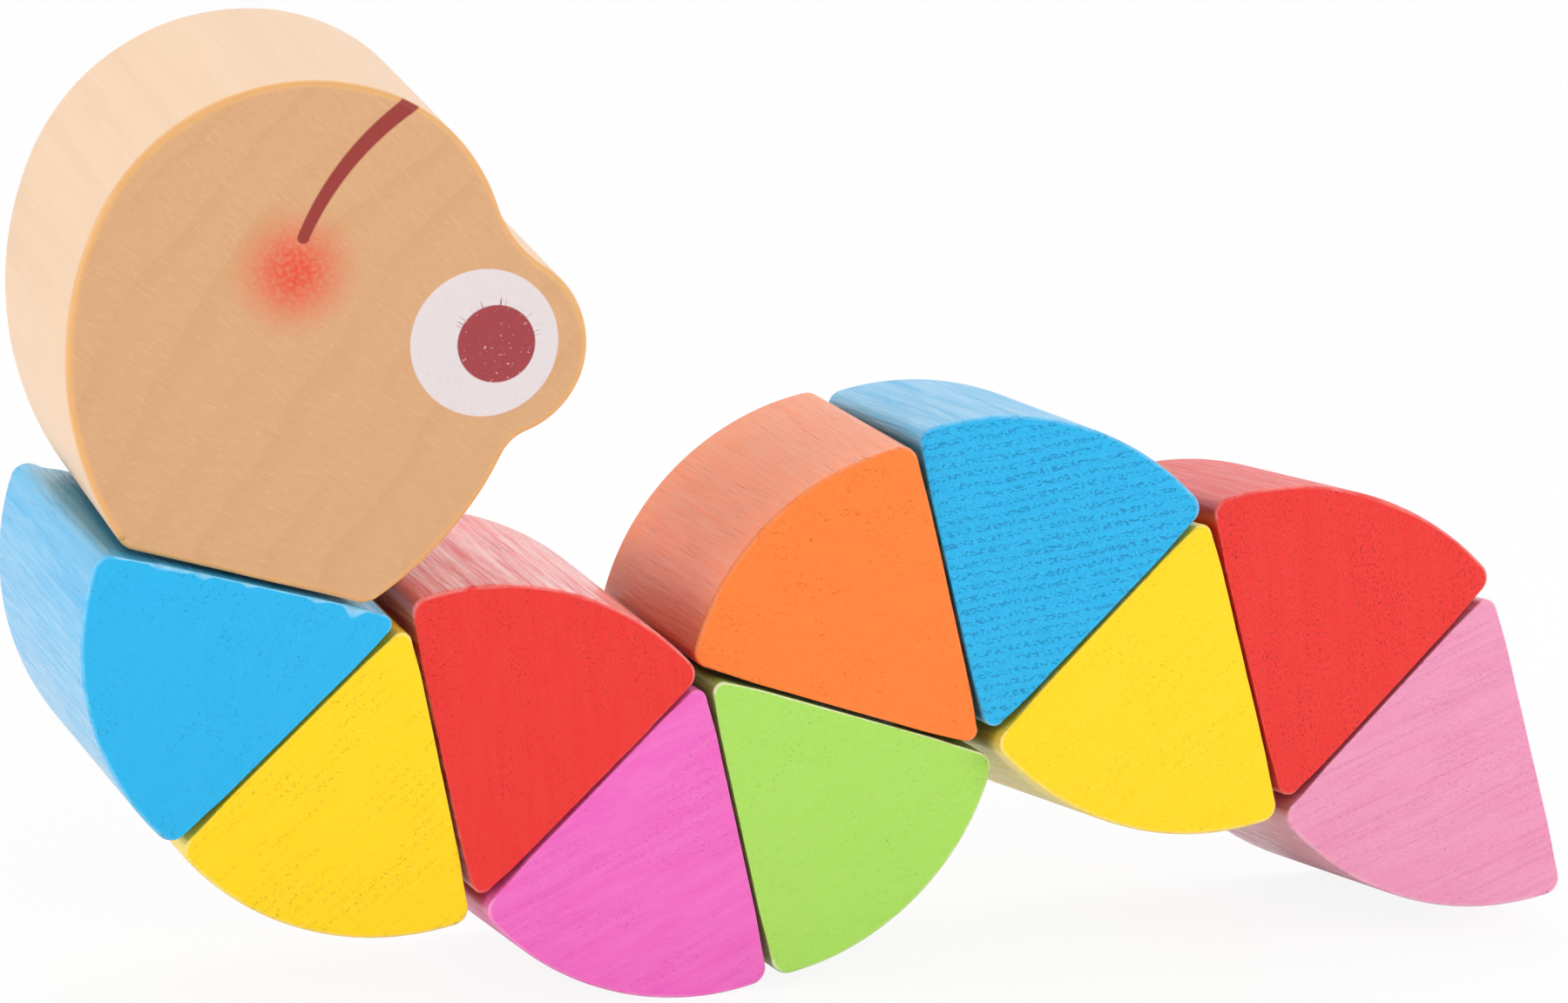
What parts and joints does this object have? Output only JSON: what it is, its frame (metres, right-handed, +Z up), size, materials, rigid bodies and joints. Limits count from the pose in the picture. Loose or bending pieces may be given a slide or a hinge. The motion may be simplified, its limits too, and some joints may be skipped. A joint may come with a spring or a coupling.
{
  "type": "articulated wooden worm toy",
  "caption": "Wooden worm grasping toy: a natural-wood head with a painted eye and coloured wedge blocks on an elastic cord, each swivelling flat against the next.",
  "frame": {"origin": "on the surface the toy stands on, under the middle of its bounding box", "axes": "+X along the worm from head to tail, +Y away from the side that faces the viewer, +Z up"},
  "size_m": [0.1296, 0.0368, 0.0816],
  "materials": {
    "head_wood": "clear-varnished natural beech with a painted eye, mouth line and cheek",
    "paint_blue": "semi-gloss sky blue paint on beech",
    "paint_yellow": "semi-gloss yellow paint on beech",
    "paint_red": "semi-gloss red paint on beech",
    "paint_magenta": "semi-gloss magenta paint on beech",
    "paint_green": "semi-gloss light green paint on beech",
    "paint_orange": "semi-gloss orange paint on beech",
    "paint_pink": "semi-gloss pale pink paint on beech",
    "plug_wood": "raw beech dowel",
    "elastic_cord": "white braided cover over an elastic core"
  },
  "bodies": {
    "head": {"head": "head_wood", "cord_head": "elastic_cord", "plug_head": "plug_wood"},
    "blue_front": {"block_01_blue": "paint_blue", "cord_01_blue": "elastic_cord"},
    "yellow_front": {"block_02_yellow": "paint_yellow", "cord_02_yellow": "elastic_cord"},
    "red_front": {"block_03_red": "paint_red", "cord_03_red": "elastic_cord"},
    "magenta_foot": {"block_04_magenta": "paint_magenta", "cord_04_magenta": "elastic_cord"},
    "green": {"block_05_green": "paint_green", "cord_05_green": "elastic_cord"},
    "orange": {"block_06_orange": "paint_orange", "cord_06_orange": "elastic_cord"},
    "blue_rear": {"block_07_blue": "paint_blue", "cord_07_blue": "elastic_cord"},
    "yellow_rear": {"block_08_yellow": "paint_yellow", "cord_08_yellow": "elastic_cord"},
    "red_rear": {"block_09_red": "paint_red", "cord_09_red": "elastic_cord"},
    "pink_tail": {"block_10_pink": "paint_pink", "cord_tail": "elastic_cord", "plug_tail": "plug_wood"}
  },
  "joints": [
    {"name": "neck_swivel", "type": "hinge", "parent": "blue_front", "child": "head", "pos_m": [-0.04886, 0.00137, 0.03933], "axis": [0.2772, -0.0833, 0.9572], "range_deg": [-15, 15]},
    {"name": "blue_front_swivel", "type": "hinge", "parent": "yellow_front", "child": "blue_front", "pos_m": [-0.0458, 0.00229, 0.02649], "axis": [-0.6804, -0.0373, 0.7319], "range_deg": [-180, 180]},
    {"name": "yellow_front_swivel", "type": "hinge", "parent": "red_front", "child": "yellow_front", "pos_m": [-0.03319, 0.00229, 0.02248], "axis": [-0.9783, 0.0374, -0.2038], "range_deg": [-13, 12]},
    {"name": "red_front_swivel", "type": "hinge", "parent": "magenta_foot", "child": "red_front", "pos_m": [-0.0206, 0.00201, 0.01845], "axis": [-0.6794, 0, 0.7338], "range_deg": [-6, 2.5]},
    {"name": "green_swivel", "type": "hinge", "parent": "magenta_foot", "child": "green", "pos_m": [-0.008, 0.00201, 0.01443], "axis": [0.9789, 0, 0.2044], "range_deg": [-10, 180]},
    {"name": "orange_swivel", "type": "hinge", "parent": "green", "child": "orange", "pos_m": [0.00194, 0.00201, 0.02316], "axis": [0.329, 0, 0.9443], "range_deg": [-3.5, 4]},
    {"name": "blue_rear_swivel", "type": "hinge", "parent": "orange", "child": "blue_rear", "pos_m": [0.01187, 0.00161, 0.03189], "axis": [0.9774, -0.0523, 0.2049], "range_deg": [-10, 180]},
    {"name": "yellow_rear_swivel", "type": "hinge", "parent": "blue_rear", "child": "yellow_rear", "pos_m": [0.02442, 0.00046, 0.02789], "axis": [0.675, -0.0986, -0.7312], "range_deg": [-8, 3]},
    {"name": "red_rear_swivel", "type": "hinge", "parent": "yellow_rear", "child": "red_rear", "pos_m": [0.03699, -0.0004, 0.02387], "axis": [0.9793, -0.0151, 0.2017], "range_deg": [-180, 180]},
    {"name": "pink_tail_swivel", "type": "hinge", "parent": "red_rear", "child": "pink_tail", "pos_m": [0.04956, -0.00127, 0.01985], "axis": [0.675, -0.0986, -0.7312], "range_deg": [-180, 180]}
  ]
}
